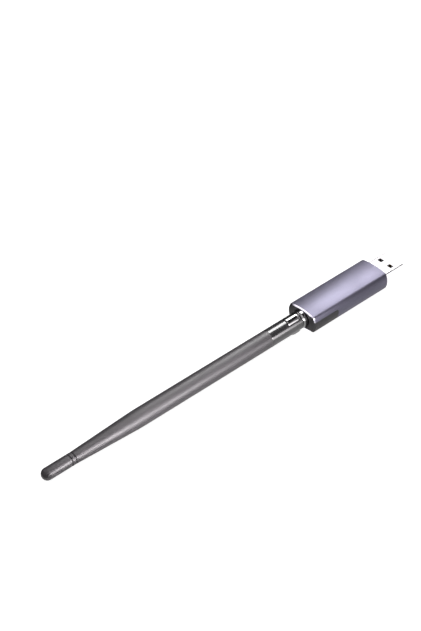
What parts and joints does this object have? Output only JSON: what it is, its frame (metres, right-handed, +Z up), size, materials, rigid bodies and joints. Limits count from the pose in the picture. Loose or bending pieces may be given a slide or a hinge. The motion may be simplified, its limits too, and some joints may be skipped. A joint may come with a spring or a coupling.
{
  "type": "usb radio stick",
  "caption": "Flat-oval metal stick with a USB-A plug at one end and a long rod antenna at the other, on a turning base with a tilting fork hinge.",
  "frame": {"origin": "centre of the front edge of the plug's shell", "axes": "+X out of the plug's mouth along the stick and the antenna, +Z up, out of the stick's broad upper face"},
  "size_m": [0.2136, 0.0176, 0.0103],
  "materials": {
    "anodised_aluminium": "satin anodised, lavender grey",
    "cap_plastic": "fine spark-eroded moulded grain",
    "plug_steel": "nickel-plated sheet",
    "insulator_plastic": "moulded",
    "gold_contact": "gold-plated",
    "board_laminate": "solder mask",
    "chip_moulding": "moulded",
    "tinned_steel": "tinned sheet",
    "ceramic": "fired ceramic",
    "lead_jacket": "extruded jacket",
    "gloss_black": "polished mould",
    "spring_steel": "rolled strip",
    "knuckle_plastic": "semi-gloss moulding",
    "rod_plastic": "soft matt moulding",
    "radiator_brass": "drawn",
    "spacer_plastic": "natural moulded"
  },
  "bodies": {
    "stick": {"sleeve": "anodised_aluminium", "rear_cap": "cap_plastic", "front_bezel": "cap_plastic", "usb_shell": "plug_steel", "usb_insulator": "insulator_plastic", "circuit_board": "board_laminate", "usb_bridge_chip": "chip_moulding", "radio_chip": "chip_moulding", "shield_can": "tinned_steel", "voltage_regulator": "chip_moulding", "crystal": "tinned_steel", "chip_capacitors": "ceramic", "coax_socket": "gold_contact", "coax_plug": "gold_contact", "coax_lead": "lead_jacket", "usb_contact_1": "gold_contact", "usb_contact_2": "gold_contact", "usb_contact_3": "gold_contact", "usb_contact_4": "gold_contact"},
    "swivel": {"swivel_base": "gloss_black", "swivel_clip": "spring_steel", "swivel_coax": "lead_jacket"},
    "antenna": {"fork_knuckle": "knuckle_plastic", "antenna_sleeve": "rod_plastic", "antenna_coax": "lead_jacket", "choke_tube": "radiator_brass", "radiator_wire": "radiator_brass", "wire_spacers": "spacer_plastic"}
  },
  "joints": [
    {"name": "antenna_swivel", "type": "hinge", "parent": "stick", "child": "swivel", "pos_m": [-0.0618, 0, 0], "axis": [1, 0, 0], "range_deg": [-180, 180]},
    {"name": "antenna_tilt", "type": "hinge", "parent": "swivel", "child": "antenna", "pos_m": [-0.0685, 0, 0], "axis": [0, -1, 0], "range_deg": [0, 90]}
  ]
}
